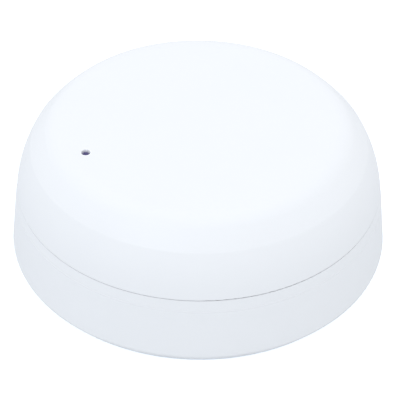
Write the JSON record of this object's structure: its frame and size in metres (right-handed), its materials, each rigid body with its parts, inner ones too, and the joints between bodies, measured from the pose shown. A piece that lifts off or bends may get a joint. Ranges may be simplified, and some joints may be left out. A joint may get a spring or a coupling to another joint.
{
  "type": "glass break detector",
  "caption": "Round battery-powered acoustic glass break detector: soft-shouldered white cover with a small microphone hole, rear housing on a bayonet wall plate.",
  "frame": {"origin": "centre of the wall plate's flat back face, which lies on the wall", "axes": "+Z out of the wall through the face of the detector, +X to the right seen from the front, so the microphone hole is on the -X side"},
  "size_m": [0.086, 0.086, 0.0335],
  "materials": {
    "case": "smooth satin",
    "plate": "smooth satin",
    "mesh": "fine woven",
    "board": "solder mask",
    "steel": "plain",
    "nickel": "nickel plate",
    "black_rubber": "matte",
    "white_plastic": "moulded",
    "black_plastic": "moulded",
    "cell_wrap": "film wrap",
    "tin": "satin",
    "gold": "gold plate",
    "led": "clear",
    "blue_plastic": "moulded",
    "ceramic": "plain"
  },
  "bodies": {
    "plate": {"wall_plate": "plate"},
    "detector": {"rear_housing": "case", "main_board": "board", "board_screws": "steel", "mic_pedestal": "black_plastic", "mic_capsule": "tin", "mic_boot": "black_rubber", "mic_leads": "nickel", "battery_cell": "cell_wrap", "battery_terminal": "nickel", "battery_holder": "black_plastic", "contact_positive": "nickel", "contact_negative": "nickel", "contact_spring": "nickel", "radio_shield": "tin", "radio_chip": "black_plastic", "aerial_wire": "nickel", "control_chip": "black_plastic", "control_chip_leads": "nickel", "microphone_amplifier": "black_plastic", "crystal": "tin", "learn_switch": "steel", "sensitivity_switch": "blue_plastic", "status_leds": "led", "can_capacitors": "tin", "chip_capacitors": "ceramic", "chip_resistors": "black_plastic", "service_header": "black_plastic", "header_pins": "gold", "tamper_switch": "black_plastic", "tamper_spring": "steel"},
    "cover": {"front_cover": "case", "acoustic_mesh": "mesh"},
    "learn_button": {"learn_button": "black_plastic"},
    "slider_1": {"sensitivity_slider_1": "white_plastic"},
    "slider_2": {"sensitivity_slider_2": "white_plastic"},
    "plunger": {"tamper_plunger": "white_plastic"}
  },
  "joints": [
    {"name": "case_twist", "type": "hinge", "parent": "plate", "child": "detector", "pos_m": [0, 0, 0], "axis": [0, 0, 1], "range_deg": [0, 15]},
    {"name": "cover_lift", "type": "slide", "parent": "detector", "child": "cover", "axis": [0, 0, 1], "range_m": [0, 0.04]},
    {"name": "learn_press", "type": "slide", "parent": "detector", "child": "learn_button", "axis": [0, 0, -1], "range_m": [0, 0.00025], "stiffness_N_per_m": 400},
    {"name": "sensitivity_slide_1", "type": "slide", "parent": "detector", "child": "slider_1", "axis": [0, 1, 0], "range_m": [0, 0.0015]},
    {"name": "sensitivity_slide_2", "type": "slide", "parent": "detector", "child": "slider_2", "axis": [0, 1, 0], "range_m": [0, 0.0015]},
    {"name": "tamper_release", "type": "slide", "parent": "detector", "child": "plunger", "axis": [0, 0, -1], "range_m": [-0.0003, 0.0015], "stiffness_N_per_m": 60, "springref_m": 0.002, "deforming": ["tamper_spring"]}
  ]
}
